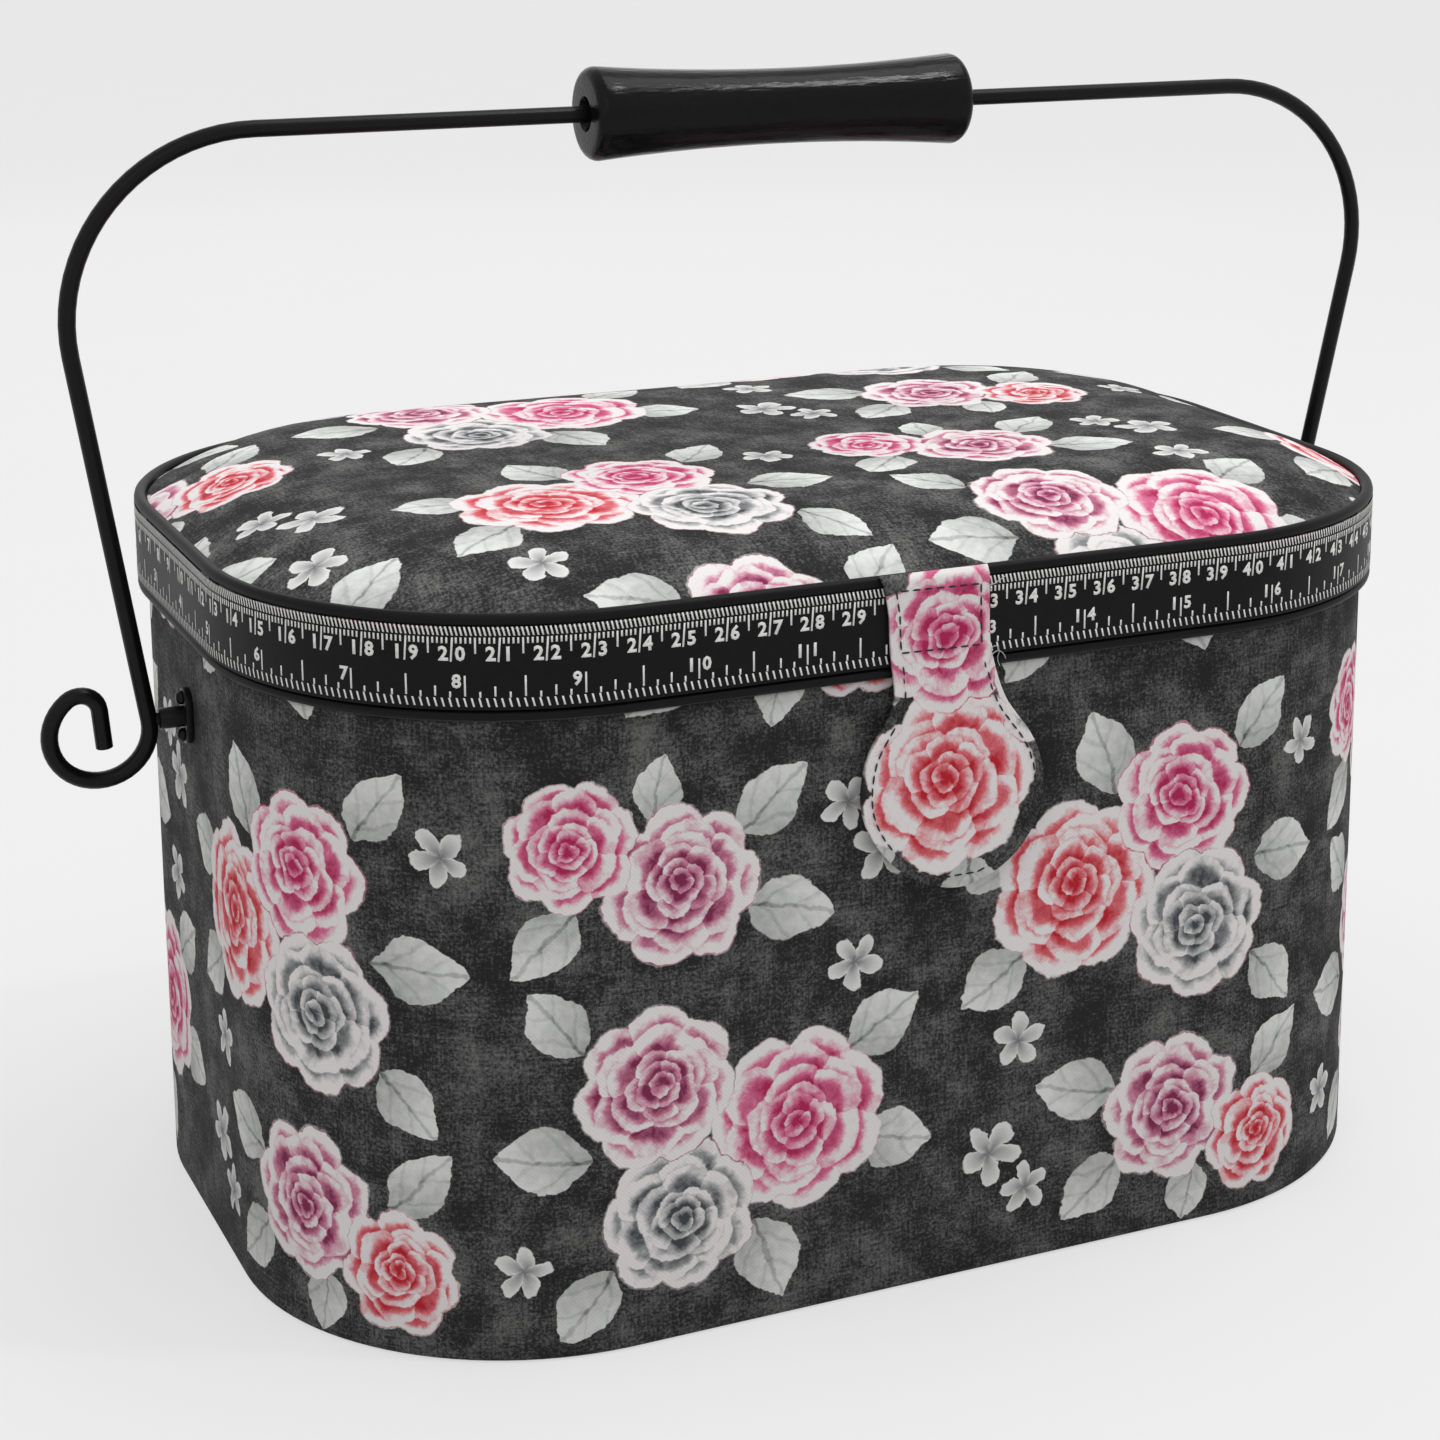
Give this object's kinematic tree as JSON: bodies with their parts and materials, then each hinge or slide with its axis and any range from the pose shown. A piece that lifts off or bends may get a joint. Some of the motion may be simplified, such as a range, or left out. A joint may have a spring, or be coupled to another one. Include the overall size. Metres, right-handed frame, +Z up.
{
  "type": "sewing box",
  "caption": "Fabric-covered sewing box with rounded ends, padded hinged lid banded with ruler tape, closing tab, lift-out tray and wire bail with turned grip.",
  "frame": {"origin": "centre of the flat underside, on the surface the box stands on", "axes": "+Z up, +X along the length to the right, -Y to the front where the closing tab hangs"},
  "size_m": [0.3586, 0.2148, 0.2767],
  "materials": {
    "printed_cloth": "printed linen",
    "lining_cloth": "satin weave",
    "tape": "satin ribbon",
    "padding": "wadding",
    "board": "pressed fibre board",
    "tray_plastic": "moulded satin",
    "steel": "blackened",
    "coated_wire": "black coating",
    "grip_plastic": "satin black"
  },
  "bodies": {
    "box": {"base_underlay": "lining_cloth", "base_board": "board", "base_pad": "lining_cloth", "wall_board": "board", "wall_cover": "printed_cloth", "wall_lining": "lining_cloth", "tray_batten_front": "board", "tray_batten_back": "board", "snap_plate": "steel", "hinge_lower_left": "steel", "hinge_lower_right": "steel", "hinge_pin_left": "steel", "hinge_pin_right": "steel", "bracket_left": "steel", "bracket_right": "steel", "bracket_backing_left": "steel", "bracket_backing_right": "steel", "bracket_screw_low_left": "steel", "bracket_screw_low_right": "steel", "bracket_screw_high_left": "steel", "bracket_screw_high_right": "steel"},
    "lid": {"lid_rim": "board", "lid_board": "board", "lid_padding": "padding", "lid_cover": "printed_cloth", "lid_side_cloth": "printed_cloth", "ruler_tape": "tape", "piping_upper": "tape", "piping_lower": "tape", "lid_rim_lining": "lining_cloth", "lid_lining": "lining_cloth", "pincushion": "lining_cloth", "lid_pocket": "lining_cloth", "tab_patch": "printed_cloth", "hinge_upper_left": "steel", "hinge_upper_right": "steel"},
    "tab": {"tab_flap": "printed_cloth", "snap_magnet": "steel"},
    "tray": {"tray": "tray_plastic"},
    "handle": {"bail_wire": "coated_wire"},
    "grip": {"grip": "grip_plastic"}
  },
  "joints": [
    {"name": "lid_hinge", "type": "hinge", "parent": "box", "child": "lid", "pos_m": [0, 0.1065, 0.149], "axis": [-1, 0, 0], "range_deg": [0, 29]},
    {"name": "tab_lift", "type": "hinge", "parent": "lid", "child": "tab", "pos_m": [0, -0.1053, 0.155], "axis": [-1, 0, 0], "range_deg": [0, 110]},
    {"name": "handle_swing", "type": "hinge", "parent": "box", "child": "handle", "pos_m": [0, 0, 0.1285], "axis": [1, 0, 0], "range_deg": [-128.5, 120]},
    {"name": "grip_spin", "type": "hinge", "parent": "handle", "child": "grip", "pos_m": [0, -0.01031, 0.26561], "axis": [1, 0, 0], "continuous": true},
    {"name": "tray_lift", "type": "slide", "parent": "box", "child": "tray", "axis": [0, 0, 1], "range_m": [0, 0.012]}
  ]
}
